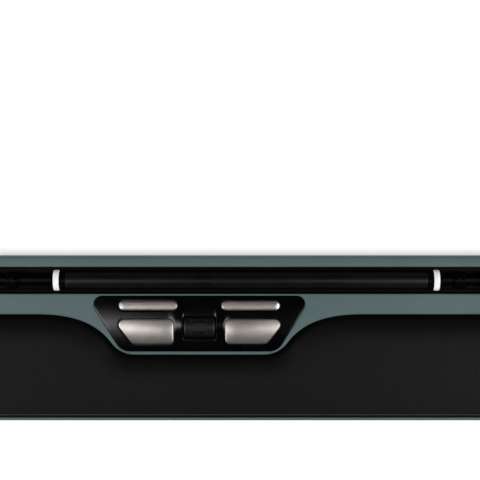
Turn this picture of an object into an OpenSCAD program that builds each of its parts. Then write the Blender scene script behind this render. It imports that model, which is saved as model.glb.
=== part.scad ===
// Roller-bar mouse with a padded wrist rest. Millimetres.
// X runs along the bar, +Y points to the back, Z = 0 is the underside of the feet.

/* [Housing] */
// Length from end to end
body_length = 480; // [450:1:510]
// Depth from the front lip to the back edge
body_depth = 107; // [107:0.5:109]
// Height of the top cover above the desk
cover_top = 18; // [18:0.1:18.5]
// Thickness of the moulded outer walls
wall = 1.8; // [1.6:0.1:2]
// Thickness of the cover's top plate
plate_t = 2.2; // [2:0.1:2.4]
// Height of the rubber feet below the tray
foot_drop = 1; // [0.8:0.1:1.2]
// Height of the tray's rim above the desk
tray_top = 8; // [7.6:0.1:8.2]
// Corner radius of the housing seen from above
corner_r = 10; // [8:0.5:12]

/* [Control cluster] */
// Sideways offset of the buttons and wheel from the middle
cluster_x = -23.5; // [-30:0.5:0]
// Half the straight front edge of the cover below the buttons
apron_half = 41.5; // [40:0.5:43]
// Distance the apron reaches in front of the pad line
apron_drop = 25.9; // [25:0.1:26.5]
// Depth of a press on the click buttons
click_travel = 0.7; // [0.4:0.1:0.8]
// Gap around every button
button_gap = 0.35; // [0.25:0.05:0.5]

/* [Scroll wheel] */
// Diameter of the scroll wheel
wheel_d = 15.2; // [14:0.2:15.6]
// Width of the scroll wheel
wheel_w = 19.8; // [16:0.2:20]
// Depth of a press on the wheel
wheel_travel = 0.5; // [0.3:0.1:0.6]

/* [Roller bar] */
// Diameter of the grip sleeve
sleeve_d = 12.6; // [12:0.1:12.8]
// Length of the grip sleeve
sleeve_length = 231.8; // [200:0.2:236]
// Distance the roller stands off centre when left alone
roller_shift = 6.7; // [-10:0.1:10]
// Diameter of the fixed guide rail
rail_d = 7; // [6:0.1:7]
// Depth of a press on the whole roller bar
roller_press = 0.7; // [0.4:0.1:0.7]

/* [Wrist rest] */
// Highest point of the pad above the desk
pad_top = 17.2; // [16:0.1:17.6]
// Gap between the pad's front edge and the tray's lip
pad_gap = 2.4; // [1.8:0.1:3]

/* [Hidden] */
$fn = 48;
EPS = 0.01;
CUT = 1;
SNUG = 0.02;
RUN = 0.06;
TEAL = [0.36, 0.42, 0.44];
BLACK = [0.04, 0.04, 0.045];
GREY = [0.16, 0.16, 0.17];
CHAMPAGNE = [0.62, 0.58, 0.53];
STEEL = [0.72, 0.73, 0.74];
GREEN = [0.06, 0.26, 0.16];
IVORY = [0.88, 0.88, 0.86];

half_l = body_length / 2;
half_d = body_depth / 2;
floor_z = foot_drop;
floor_top = foot_drop + 1.6;
pad_line_y = half_d - 37.8;
apron_y = pad_line_y - apron_drop;
plate_z = cover_top - plate_t;
reveal = 0.5;

// Front edge of the cover: apron, round corner, then a long swoop out to the pad line
apron_r = 18.65;
swoop_angle = 53.2;
swoop_reach = 104.1;
swoop_in = 14.5;
swoop_out = 25.4;
swoop_steps = 16;
corner_steps = 8;

// Roller bar stations
roller_y = half_d - 16;
roller_z = cover_top - 4.4;
slot_half = 168;
slot_front = roller_y - 8.65;
slot_back = roller_y + 8.7;
ring_d = sleeve_d + 0.8;
ring_w = 3.8;
collar_w = 4.2;
collar_d = sleeve_d - 0.4;
core_r = 5.4;
carriage_r = 4.4;
rail_r = rail_d / 2;
roller_half = sleeve_length / 2 + collar_w + ring_w;
cap_w = 1.8;
cap_gap = 0.2;
rail_half = 160;
stop_x = 141;
stop_w = 6;
block_x = 157;
block_w = 7;
channel_z = floor_top + 0.7 + roller_press;
channel_t = 1.2;
channel_half_w = 7.5;
channel_wall_top = 10.5;
riser_x = 164.6;
tab_z = 9;
tab_end = 182;
post_x = 173;
post_r = 2;
liner_t = 0.8;
key_w = 2;
key_h = 0.8;
key_gap = 0.1;
block_screw_y = 2.6;
click_x = 179;
click_y = roller_y - 4.7;
click_shelf_z = 4.4;

// Control panel and buttons, about the middle of the cluster
panel_top = cover_top - 0.7;
panel_t = 2.1;
panel_z = panel_top - panel_t;
panel_back = roller_y - 9.9;
panel_front = apron_y + 2.3;
panel_fit = 0.15;
PANEL = [[-72.2, panel_back], [72.2, panel_back], [50.2, panel_front], [-50.2, panel_front]];
PANEL_R = [5.5, 5.5, 10, 10];
large_back = panel_back - 14.85;
large_front = panel_front + 4.6;
LARGE = [[16.7, large_back], [55.6, large_back], [43, large_front], [16.7, large_front]];
LARGE_R = [3.2, 3.6, 3.2, 3];
pill_back = panel_back - 3.3;
pill_front = pill_back - 6;
pill_in = 14.3;
pill_out = 51.6;
large_top = cover_top + 0.2;
pill_top = cover_top - 0.1;
flange_grow = 1.2;
flange_t = 1.2;
flange_z = panel_z - flange_t - 0.1;
switch_x = 34;
switch_y = 5;
pill_switch_y = (pill_back + pill_front) / 2;

// Electronics
pcb_z = 4.6;
pcb_t = 1.6;
pcb_top = pcb_z + pcb_t;
pcb_inset = 2;
pcb_back = panel_back - pcb_inset;
switch_h = 3.5;
switch_w = 6;
switch_top = pcb_top + switch_h;
well_r = 1.3;
well_depth = 1;
nib_r = well_r - 0.15;
nib_dip = 0.1;
sensor_board_t = 0.8;
pilot_r = 0.82;
port_x = 200;
port_z = 10.4;
port_w = 8.94;
port_h = 3.26;
port_len = 7.3;
port_board_t = 1;
port_board_z = port_z - port_h / 2 - port_board_t;
ribbon_t = 0.2;

// Scroll wheel
wheel_r = wheel_d / 2;
wheel_y = 7.7;
wheel_z = cover_top - 6.2;
axle_r = 1.2;
hub_r = 5;
ear_in = wheel_w / 2 + 0.6;
ear_t = 1.8;
yoke_in_y = wheel_r + 1;
yoke_t = 1.6;
yoke_z = pcb_top + 2.9 + wheel_travel;
yoke_h = 3;
guide_dx = -6;
guide_dy = yoke_in_y + yoke_t + 2.2;
guide_r = 1.2;
wheel_switch_at = [6, wheel_y + yoke_in_y + yoke_t + 4.4];

// Fixings
SCREWS = [[-232, 47], [232, 47], [-232, 21], [232, 21], [-140, 49.6], [140, 49.6], [-50, 49.6], [50, 49.6],
          [-112, 23], [58, 23], [-190, 23], [160, 25.6]];
screw_boss_top = 4.6;
PCB_FIX = [[-44, -3.4], [44, -3.4], [-60, 23], [60, 23]];
PEGS = [[-220, -30], [-110, -38], [0, -38], [110, -38], [220, -30], [-180, 2], [160, 2]];
peg_r = 2;
rest_z = 6.2;
rest_t = 1.6;
PORT_FIX = [[port_x - 7, roller_y + 1], [port_x + 7, roller_y + 1]];
FEET = [[-222, 40], [222, 40], [-222, -42], [222, -42], [-75, -42], [75, -42], [-75, 47], [75, 47]];
foot_len = 26;
foot_wide = 8;
foot_set = 0.3;

// ---------- outlines ----------

function unit(v) = v / norm(v);

function corner_in(a, b, c) = unit(unit(a - b) + unit(c - b));

function half_angle(a, b, c) = acos(unit(a - b) * unit(c - b)) / 2;

// A convex outline moved outwards by d
function grown(pts, d) = [
    for (i = [0 : len(pts) - 1])
        let (n = len(pts), a = pts[(i + n - 1) % n], b = pts[i], c = pts[(i + 1) % n])
        b - corner_in(a, b, c) * d / sin(half_angle(a, b, c))
];

// The points of one rounded corner
function corner_arc(a, b, c, r) =
    let (h = half_angle(a, b, c), m = b + corner_in(a, b, c) * r / sin(h),
         s = b + unit(a - b) * r / tan(h) - m, turn = sign(cross(b - a, c - b)) * (180 - 2 * h),
         start = atan2(s.y, s.x))
    [for (k = [0 : corner_steps]) m + r * [cos(start + turn * k / corner_steps),
                                           sin(start + turn * k / corner_steps)]];

// A convex outline with one radius for each corner, moved outwards by d
function rounded(pts, radii, d = 0) =
    let (g = grown(pts, d), n = len(pts))
    [for (i = [0 : n - 1])
        each corner_arc(g[(i + n - 1) % n], g[i], g[(i + 1) % n], max(radii[i] + d, 0.2))];

function bezier(a, b, c, d, t) =
    a * pow(1 - t, 3) + b * 3 * t * pow(1 - t, 2) + c * 3 * t * t * (1 - t) + d * pow(t, 3);

function bezier_way(a, b, c, d, t) =
    (b - a) * pow(1 - t, 2) + (c - b) * 2 * t * (1 - t) + (d - c) * t * t;

function left_of(v) = [-v.y, v.x];

// Right half of the cover's front edge, moved into the cover by d
function front_half(d) =
    let (m = [apron_half, apron_y + apron_r],
         p0 = m + apron_r * [sin(swoop_angle), -cos(swoop_angle)],
         p1 = p0 + swoop_in * [cos(swoop_angle), sin(swoop_angle)],
         p3 = [swoop_reach, pad_line_y], p2 = p3 - [swoop_out, 0])
    [for (k = [0 : corner_steps])
        let (a = swoop_angle * k / corner_steps) m + (apron_r - d) * [sin(a), -cos(a)],
     for (k = [1 : swoop_steps])
        let (t = k / swoop_steps, p = bezier(p0, p1, p2, p3, t), w = bezier_way(p0, p1, p2, p3, t))
        p + left_of(unit(w)) * d];

function reversed(v) = [for (i = [len(v) - 1 : -1 : 0]) v[i]];

function front_edge(d) =
    let (h = front_half(d))
    [for (p = reversed(h)) [cluster_x - p.x, p.y], for (p = h) [cluster_x + p.x, p.y]];

function body_corners(y0, y1) = [[-half_l, y0], [half_l, y0], [half_l, y1], [-half_l, y1]];

module body_plan(d = 0) {
    polygon(rounded(body_corners(-half_d, half_d), [corner_r, corner_r, corner_r, corner_r], d));
}

// Everything behind the cover's front edge, which is moved back by d
module behind_front(d = 0) {
    far = half_l + 20;
    line_y = pad_line_y + d;
    polygon(concat([[-far, line_y]], front_edge(d), [[far, line_y], [far, far], [-far, far]]));
}

module cover_plan(d = 0) {
    intersection() {
        body_plan(-d);
        behind_front(d);
    }
}

module panel_plan(d = 0) {
    translate([cluster_x, 0]) polygon(rounded(PANEL, PANEL_R, d));
}

// side is -1 for the left button and 1 for the right one
module large_plan(side, d = 0) {
    translate([cluster_x, 0]) mirror([side < 0 ? 1 : 0, 0]) polygon(rounded(LARGE, LARGE_R, d));
}

module pill_plan(side, d = 0) {
    r = (pill_back - pill_front) / 2 + d;
    translate([cluster_x + side * (pill_in + pill_out) / 2, pill_switch_y]) {
        square([pill_out - pill_in - 2 * (r - d), 2 * r], center = true);
        for (s = [-1, 1]) translate([s * ((pill_out - pill_in) / 2 - r + d), 0]) circle(r);
    }
}

module wheel_plan(d = 0) {
    translate([cluster_x, wheel_y - 0.6])
        polygon(rounded([[-10.9, -7.6], [10.9, -7.6], [10.9, 7.6], [-10.9, 7.6]], [1.5, 1.5, 1.5, 1.5], d));
}

// ---------- placing ----------

module between(z0, z1) translate([0, 0, z0]) linear_extrude(z1 - z0) children();

// Extrudes a (Y, Z) profile from x0 to x1
module along_x(x0, x1) translate([x0, 0, 0]) rotate([90, 0, 90]) linear_extrude(x1 - x0) children();

// Extrudes an (X, Z) profile from y0 to y1
module along_y(y0, y1) translate([0, y1, 0]) rotate([90, 0, 0]) linear_extrude(y1 - y0) children();

// A rod on the roller's axis
module rod_x(x0, x1, r) translate([x0, roller_y, roller_z]) rotate([0, 90, 0]) cylinder(h = x1 - x0, r = r);

// A tube on the roller's axis
module tube_x(x0, x1, r_out, r_in) {
    difference() {
        rod_x(x0, x1, r_out);
        rod_x(x0 - CUT, x1 + CUT, r_in);
    }
}

module block(x0, x1, y0, y1, z0, z1) translate([x0, y0, z0]) cube([x1 - x0, y1 - y0, z1 - z0]);

module post(p, z0, z1, r) translate([p.x, p.y, z0]) cylinder(h = z1 - z0, r = r);

module at_cluster() translate([cluster_x, 0, 0]) children();

module screw(p, z0, head_r, head_h, shank_r, shank_l) {
    slot_w = head_r / 3;
    translate([p.x, p.y, z0]) difference() {
        union() {
            cylinder(h = head_h, r = head_r);
            cylinder(h = head_h + shank_l, r = shank_r);
        }
        for (a = [0, 90]) rotate(a) translate([-head_r * 0.6, -slot_w / 2, -CUT])
            cube([head_r * 1.2, slot_w, CUT + head_h * 0.55]);
    }
}

// A coil spring standing at p, swept ring by ring
module coil(p, z0, z1, r, wire_r, turns) {
    per_turn = 18;
    sides = 6;
    n = turns * per_turn;
    rise = z1 - z0 - 2 * wire_r;
    rings = [for (k = [0 : n], b = [0 : sides - 1])
        let (a = k * 360 / per_turn, w = b * 360 / sides, q = r + wire_r * cos(w))
        [p.x + q * cos(a), p.y + q * sin(a), z0 + wire_r + rise * k / n + wire_r * sin(w)]];
    skin = [for (k = [0 : n - 1], b = [0 : sides - 1])
        let (c = (b + 1) % sides) [k * sides + b, (k + 1) * sides + b, (k + 1) * sides + c, k * sides + c]];
    start_cap = [[for (b = [0 : sides - 1]) b]];
    end_cap = [[for (b = [sides - 1 : -1 : 0]) n * sides + b]];
    polyhedron(points = rings, faces = concat(skin, start_cap, end_cap), convexity = 8);
}

// ---------- housing ----------

module bottom_tray() {
    boss_r = 3.4;
    color(TEAL) difference() {
        union() {
            difference() {
                between(floor_z, tray_top) body_plan();
                between(floor_top, tray_top + CUT) body_plan(-wall);
            }
            for (p = SCREWS) post(p, floor_z + EPS, screw_boss_top, boss_r);
            at_cluster() for (p = PCB_FIX) post(p, floor_top - EPS, pcb_z, 2.4);
            for (p = PEGS) post(p, floor_top - EPS, rest_z, 3.6);
            for (p = PORT_FIX) post(p, floor_top - EPS, port_board_z, 2.2);
            for (s = [-1, 1]) {
                post([s * post_x, roller_y], floor_top - EPS, plate_z - 1.6, post_r);
                at_cluster() post([guide_dx, wheel_y + s * guide_dy], floor_top - EPS, yoke_z + 4, guide_r);
            }
            between(floor_top - EPS, click_shelf_z) translate([click_x, click_y])
                square(switch_w, center = true);
        }
        for (p = SCREWS) {
            post(p, floor_z - CUT, floor_z + 1.9, 2.2);
            post(p, floor_z, screw_boss_top + CUT, 1.1);
        }
        at_cluster() for (p = PCB_FIX) post(p, floor_top, pcb_z + CUT, pilot_r);
        for (p = PEGS) post(p, floor_top + 0.4, rest_z + CUT, peg_r + SNUG);
        for (p = PORT_FIX) post(p, floor_top + 0.4, port_board_z + CUT, pilot_r);
        for (p = FEET) between(floor_z - CUT, floor_z + foot_set) foot_plan(p, 0.15);
    }
}

module foot_plan(p, d = 0) {
    r = foot_wide / 2 + d;
    translate(p) {
        square([foot_len - foot_wide, 2 * r], center = true);
        for (s = [-1, 1]) translate([s * (foot_len - foot_wide) / 2, 0]) circle(r);
    }
}

module rubber_feet() {
    color(GREY) for (p = FEET) between(0, floor_z + foot_set) foot_plan(p);
}

module housing_screws() {
    color(STEEL) for (p = SCREWS) screw(p, floor_z + 0.5, 2, 1.4, 0.88, 8);
}

// Outer side profile with a round back edge
module cover_side(r, top, inset) {
    back = half_d - inset;
    difference() {
        translate([-half_d, 0]) square([half_d + back, top]);
        translate([back - r, top - r]) difference() {
            square(r + CUT);
            circle(r);
        }
    }
}

module cover_ends(r, top, inset) {
    difference() {
        translate([-half_l + inset, 0]) square([body_length - 2 * inset, top]);
        for (s = [0, 1]) mirror([s, 0]) translate([half_l - inset - r, top - r]) difference() {
            square(r + CUT);
            circle(r);
        }
    }
}

module cover_solid(d, top, r) {
    intersection() {
        between(0, top) cover_plan(d);
        along_x(-half_l, half_l) cover_side(r, top, d);
        along_y(-half_d, half_d) cover_ends(r, top, d);
    }
}

module top_cover() {
    edge_r = 3;
    color(TEAL) {
        difference() {
            union() {
                difference() {
                    cover_solid(0, cover_top, edge_r);
                    cover_solid(wall, plate_z, edge_r - wall);
                }
                panel_ledge();
            }
            between(-CUT, tray_top) body_plan(CUT);
            between(panel_z, cover_top + CUT) panel_plan(panel_fit);
            block(-slot_half, slot_half, slot_front, slot_back, plate_z - CUT, cover_top + CUT);
            translate([port_x, half_d + CUT, port_z])
                rotate([90, 0, 0]) linear_extrude(2 * wall) port_outline(0.2);
            seam_reveal();
        }
        for (p = SCREWS) cover_post(p);
    }
}

// Shelf inside the window that the control panel rests on
module panel_ledge() {
    shelf_t = 1.3;
    between(panel_z - shelf_t, plate_z + EPS) difference() {
        intersection() {
            panel_plan(1.6);
            behind_front(0.2);
            translate([-half_l, -half_d]) square([body_length, half_d + slot_front - liner_t]);
        }
        panel_plan(-1.6);
    }
}

// Shadow line where the cover meets the tray
module seam_reveal() {
    between(tray_top - CUT, tray_top + reveal) difference() {
        body_plan(CUT);
        body_plan(-wall / 2);
        translate([-half_l, -half_d]) square([body_length, half_d + pad_line_y]);
    }
}

// Screw post of the cover, from the tray's boss up to the plate
module cover_post(p) {
    difference() {
        post(p, screw_boss_top, plate_z + EPS, 1.9);
        post(p, screw_boss_top - CUT, screw_boss_top + 7, 0.9);
    }
}

// Black frame under the slot that hides the inside of the housing
module slot_liner() {
    end_z = tab_z + 2.6;
    side_z = channel_wall_top - 1;
    color(BLACK) difference() {
        union() {
            block(-slot_half - liner_t, slot_half + liner_t, slot_front - liner_t, slot_back + liner_t,
                  end_z, plate_z);
            block(-riser_x, riser_x, slot_front - liner_t, slot_back + liner_t, side_z, end_z + EPS);
        }
        block(-slot_half, slot_half, slot_front, slot_back, side_z - CUT, plate_z + CUT);
    }
}

// Side profile of the pad, higher at the back and rolled over at the front
module pad_side() {
    front = -half_d + wall + pad_gap;
    back = pad_line_y + 1;
    low = rest_z + rest_t;
    shoulder = pad_top - 2.1;
    outline = [[front, low], [front, shoulder], [-27, pad_top - 0.7], [0, pad_top], [back, pad_top - 1.2],
               [back, low]];
    polygon(rounded(outline, [0.2, 1.8, 30, 60, 2.5, 0.2]));
}

module rest_plan(d, front_gap) {
    x = half_l - wall - 0.4 - d;
    y0 = -half_d + wall + front_gap;
    y1 = pad_line_y + 2;
    difference() {
        polygon(rounded([[-x, y0], [x, y0], [x, y1], [-x, y1]], [8, 8, 0.2, 0.2]));
        behind_front(-0.4 - d);
    }
}

module wrist_rest_pad() {
    color(BLACK) intersection() {
        between(rest_z + rest_t, pad_top + CUT) rest_plan(0, pad_gap - 0.2);
        along_x(-half_l, half_l) pad_side();
    }
}

module wrist_rest_plate() {
    color(GREY) {
        between(rest_z, rest_z + rest_t) rest_plan(0.6, 0.4);
        for (p = PEGS) post(p, floor_top + 1, rest_z + EPS, peg_r);
    }
}

// ---------- control cluster ----------

module control_panel() {
    cheek_r = 14;
    cheek_rise = 1.3;
    color(BLACK) difference() {
        union() {
            between(panel_z, panel_top) panel_plan();
            for (s = [-1, 1]) intersection() {
                translate([cluster_x + s * 14 - 2.4, wheel_y, panel_top + cheek_rise - cheek_r])
                    rotate([0, 90, 0]) cylinder(h = 4.8, r = cheek_r);
                between(panel_z, cover_top + 2) panel_plan(-1);
            }
            at_cluster() for (s = [-1, 1]) {
                for (x = [14, 44]) panel_hook(s * x, panel_front + 2.5, -1);
                for (x = [8, 60]) panel_hook(s * x, panel_back - 2.2, 1);
            }
        }
        for (s = [-1, 1]) {
            between(panel_z - CUT, cover_top + 2) large_plan(s, button_gap);
            between(panel_z - CUT, cover_top + 2) pill_plan(s, button_gap);
        }
        between(panel_z - CUT, cover_top + 2) wheel_plan();
    }
}

// A snap hook that catches under the cover's ledge on the side that way points to
module panel_hook(x, y, way) {
    leg = 2.6;
    tip = panel_z - leg;
    block(x - 1.5, x + 1.5, y - 0.4, y + 0.4, tip, panel_z + EPS);
    block(x - 1.5, x + 1.5, min(y, y + way), max(y, y + way), tip, tip + 0.9);
}

// A click key: cap, hidden flange and the stem that presses its switch
module key(top, stem) {
    cap_t = 1.6;
    difference() {
        union() {
            between(flange_z + flange_t - EPS, top) children(0);
            between(flange_z, flange_z + flange_t) children(1);
        }
        between(flange_z - CUT, top - cap_t) children(2);
    }
    at_cluster() {
        post(stem, switch_top - nib_dip, top - cap_t + EPS, nib_r);
        post(stem, switch_top + click_travel + 0.15, top - cap_t + EPS, well_r + 0.9);
    }
}

module large_button(side) {
    color(CHAMPAGNE) key(large_top, [side * switch_x, switch_y]) {
        large_plan(side);
        large_plan(side, flange_grow);
        large_plan(side, -1.2);
    }
}

module pill_button(side) {
    color(CHAMPAGNE) key(pill_top, [side * switch_x, pill_switch_y]) {
        pill_plan(side);
        pill_plan(side, 0.9);
        pill_plan(side, -1);
    }
}

module left_click_button() large_button(-1);

module right_click_button() large_button(1);

module left_pill_button() pill_button(-1);

module right_pill_button() pill_button(1);

// ---------- scroll wheel ----------

module along_axle(x0, x1, r) {
    translate([cluster_x + x0, wheel_y, wheel_z]) rotate([0, 90, 0]) cylinder(h = x1 - x0, r = r);
}

// Rubber tyre with short cross grooves between its pads, and chamfered ends
module scroll_wheel_tyre() {
    half_w = wheel_w / 2;
    chamfer = 0.5;
    grooves = 6;
    groove_l = 9.4;
    groove_w = 1.2;
    groove_deep = 0.5;
    side = [[hub_r, -half_w], [wheel_r - chamfer, -half_w], [wheel_r, chamfer - half_w],
            [wheel_r, half_w - chamfer], [wheel_r - chamfer, half_w], [hub_r, half_w]];
    color(GREY) translate([cluster_x, wheel_y, wheel_z]) rotate([0, 90, 0]) difference() {
        rotate_extrude() polygon(side);
        for (k = [0 : grooves - 1]) rotate((k + 0.5) * 360 / grooves)
            translate([wheel_r - groove_deep, -groove_w / 2, -groove_l / 2])
                cube([groove_deep + CUT, groove_w, groove_l]);
    }
}

module scroll_wheel_hub() {
    half_w = wheel_w / 2;
    color(BLACK) difference() {
        along_axle(-half_w, half_w, hub_r);
        along_axle(-half_w - CUT, half_w + CUT, axle_r);
        for (s = [-1, 1]) difference() {
            along_axle(s * half_w - 1.2, s * half_w + 1.2, hub_r - 0.9);
            along_axle(s * half_w - 1.2, s * half_w + 1.2, axle_r + 1);
        }
    }
}

module wheel_axle() {
    color(STEEL) along_axle(-ear_in - ear_t, ear_in + ear_t + 1.6, axle_r);
}

module wheel_yoke() {
    out_x = ear_in + ear_t;
    out_y = yoke_in_y + yoke_t;
    color(GREY) difference() {
        union() {
            at_cluster() difference() {
                block(-out_x, out_x, wheel_y - out_y, wheel_y + out_y, yoke_z, yoke_z + yoke_h);
                block(-ear_in, ear_in, wheel_y - yoke_in_y, wheel_y + yoke_in_y, yoke_z - CUT,
                      yoke_z + yoke_h + CUT);
            }
            for (s = [-1, 1]) along_axle(s > 0 ? ear_in : -out_x, s > 0 ? out_x : -ear_in, axle_r + 1.6);
            at_cluster() {
                for (s = [-1, 1]) post([guide_dx, wheel_y + s * guide_dy], yoke_z, yoke_z + yoke_h, 2.6);
                block(3.6, 8.4, wheel_y + out_y - EPS, wheel_y + out_y + 6.4, yoke_z + 1.6, yoke_z + yoke_h);
                post(wheel_switch_at, switch_top - nib_dip, yoke_z + yoke_h, nib_r);
            }
        }
        for (s = [-1, 1]) at_cluster()
            post([guide_dx, wheel_y + s * guide_dy], yoke_z - CUT, yoke_z + yoke_h + CUT, guide_r + RUN);
        along_axle(-out_x - CUT, out_x + CUT, axle_r + RUN);
    }
}

module wheel_encoder() {
    x0 = ear_in + ear_t;
    color(GREEN) difference() {
        at_cluster() block(x0, x0 + 2.6, wheel_y - 4, wheel_y + 4, wheel_z - 4, wheel_z + 3.4);
        along_axle(x0 - CUT, x0 + 2, axle_r + RUN);
    }
}

module wheel_springs() {
    color(STEEL) for (s = [-1, 1])
        coil([cluster_x + guide_dx, wheel_y + s * guide_dy], floor_top, yoke_z, guide_r + 0.6, 0.2, 6);
}

// ---------- electronics ----------

// A push switch whose plunger well takes the end of a key's stem
module push_switch(p, z0) {
    difference() {
        translate([p.x, p.y, z0 + switch_h / 2]) cube([switch_w, switch_w, switch_h], center = true);
        post(p, z0 + switch_h - well_depth, z0 + switch_h + CUT, well_r);
    }
}

module button_switches() {
    color(GREY) at_cluster() for (s = [-1, 1]) {
        push_switch([s * switch_x, switch_y], pcb_top);
        push_switch([s * switch_x, pill_switch_y], pcb_top);
    }
}

module wheel_click_switch() {
    color(GREY) at_cluster() push_switch(wheel_switch_at, pcb_top);
}

module main_pcb() {
    half_y = yoke_in_y + yoke_t + 0.8;
    color(GREEN) between(pcb_z, pcb_top) difference() {
        panel_plan(-pcb_inset);
        at_cluster() {
            translate([-14, wheel_y - half_y]) square([29.6, 2 * half_y]);
            for (s = [-1, 1]) translate([guide_dx, wheel_y + s * guide_dy]) circle(3.2);
            for (p = PCB_FIX) translate(p) circle(1.1);
        }
    }
}

module chip(x, y, w, d, h) {
    block(x - w / 2, x + w / 2, y - d / 2, y + d / 2, pcb_top, pcb_top + h);
}

module controller_chips() {
    color(BLACK) at_cluster() {
        chip(-46, 12, 7, 7, 1);
        chip(-22, 14, 5, 4, 1);
        chip(46, 12, 9, 6, 1.2);
        chip(24, 14, 3.2, 2.5, 0.9);
        for (k = [0 : 5]) chip(-54 + 3 * k, 3, 1.6, 0.8, 0.5);
        for (k = [0 : 5]) chip(40 + 3 * k, 3, 1.6, 0.8, 0.5);
    }
}

module pcb_screws() {
    color(STEEL) at_cluster() for (p = PCB_FIX) board_screw(p, pcb_top);
}

// A small screw put in from above, with its head resting at height z
module board_screw(p, z) {
    head_h = 1.1;
    translate([p.x, p.y, z + head_h]) mirror([0, 0, 1]) screw([0, 0], 0, 1.8, head_h, 0.8, 3);
}

module port_outline(d = 0) {
    r = port_h / 2 + d;
    square([port_w - port_h, 2 * r], center = true);
    for (s = [-1, 1]) translate([s * (port_w - port_h) / 2, 0]) circle(r);
}

module usb_receptacle() {
    shell_t = 0.35;
    back = half_d - 0.4;
    color(STEEL) translate([port_x, back, port_z]) rotate([90, 0, 0]) {
        difference() {
            linear_extrude(port_len) port_outline();
            translate([0, 0, -CUT]) linear_extrude(port_len - 1 + CUT) port_outline(-shell_t);
        }
        translate([-3.35, -0.35, 0.8]) cube([6.7, 0.7, port_len - 1]);
    }
}

module port_board() {
    color(GREEN) difference() {
        block(port_x - 10, port_x + 10, roller_y - 2, half_d - wall - 0.4, port_board_z,
              port_board_z + port_board_t);
        for (p = PORT_FIX) post(p, port_board_z - CUT, port_z, 1.1);
    }
}

module port_screws() {
    color(STEEL) for (p = PORT_FIX) board_screw(p, port_board_z + port_board_t);
}

// The two arms of the ribbon lie on the tray and fold over each other at the corner
module port_ribbon() {
    pcb_end = cluster_x + 62.5;
    low = floor_top + 0.1;
    board_top = port_board_z + port_board_t;
    y0 = 10;
    wide = 5;
    x1 = port_x - 3;
    color(GREY) {
        along_y(y0, y0 + wide) polygon(ribbon([[pcb_end - 5, pcb_top], [pcb_end + 1, pcb_top],
                                               [pcb_end + 5, low], [x1, low]]));
        along_x(x1 - wide, x1) polygon(ribbon([[y0, low], [roller_y - 6, low], [roller_y - 2.4, board_top],
                                               [roller_y - 1.2, board_top]]));
    }
}

// Outline of a thin ribbon from the points along its underside
function ribbon(way) = concat(way, [for (p = reversed(way)) p + [0, ribbon_t]]);

module sensor_ribbon() {
    board_top = floor_top + sensor_board_t;
    low = floor_top + 0.1;
    way = [[roller_y - 2.4, board_top], [roller_y - 4, board_top], [roller_y - 4.7, low],
           [pcb_back + 1.2, low], [pcb_back + 0.4, pcb_top], [pcb_back - 3, pcb_top]];
    color(GREY) along_x(-3, 3) polygon(ribbon(way));
}

// ---------- roller bar ----------

module sensor_board() {
    color(GREEN) block(-10.5, 10.5, roller_y - 3.9, roller_y + 3.9, floor_top, floor_top + 0.8);
}

module sensor_chip() {
    color(BLACK) difference() {
        block(-5, 5, roller_y - 2.4 + EPS, roller_y + 3.4, floor_top + 0.8, floor_top + 2.4);
        post([0, roller_y], floor_top + 2, floor_top + 3, 1.6);
    }
}

module sensor_lens() {
    color([0.8, 0.85, 0.9, 0.5]) intersection() {
        post([0, roller_y], floor_top + 2, floor_top + 3.4, 1.55);
        translate([0, roller_y, floor_top + 1.2]) sphere(2.2);
    }
}

module roller_click_switch() {
    color(GREY) push_switch([click_x, click_y], click_shelf_z);
}

module guide_rail() {
    color(BLACK) difference() {
        rod_x(-rail_half, rail_half, rail_r);
        block(-rail_half - CUT, rail_half + CUT, roller_y - key_w / 2, roller_y + key_w / 2,
              roller_z + rail_r - key_h, roller_z + rail_r + CUT);
    }
}

// A rib that runs in the rail's groove
module key_rib(x0, x1, top) {
    half = key_w / 2 - key_gap;
    block(x0, x1, roller_y - half, roller_y + half, roller_z + rail_r - key_h + key_gap, top);
}

module rail_end_blocks() {
    half_w = rail_r + 0.9;
    color(BLACK) for (s = [0, 1]) mirror([s, 0, 0]) difference() {
        union() {
            block(block_x, block_x + block_w, roller_y - half_w, roller_y + half_w,
                  channel_z + channel_t, roller_z);
            rod_x(block_x, block_x + block_w, half_w);
        }
        rod_x(block_x - CUT, rail_half + SNUG, rail_r + SNUG);
        for (y = [-block_screw_y, block_screw_y])
            post([block_x + block_w / 2, roller_y + y], channel_z, channel_z + 5, pilot_r);
    }
}

// Clamps on the rail that end the roller's sideways travel
module travel_stops() {
    clamp_r = 5.4;
    color(BLACK) for (s = [0, 1]) mirror([s, 0, 0]) difference() {
        union() {
            tube_x(stop_x, stop_x + stop_w, clamp_r, rail_r + SNUG);
            key_rib(stop_x, stop_x + stop_w, roller_z + clamp_r - 0.5);
        }
        post([stop_x + stop_w / 2, roller_y], roller_z + clamp_r - 0.9, roller_z + clamp_r + CUT, 1.3);
    }
}

module stop_bumpers() {
    color(GREY) for (s = [0, 1]) mirror([s, 0, 0]) tube_x(stop_x - 1, stop_x, 5, rail_r + 0.1);
}

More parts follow.
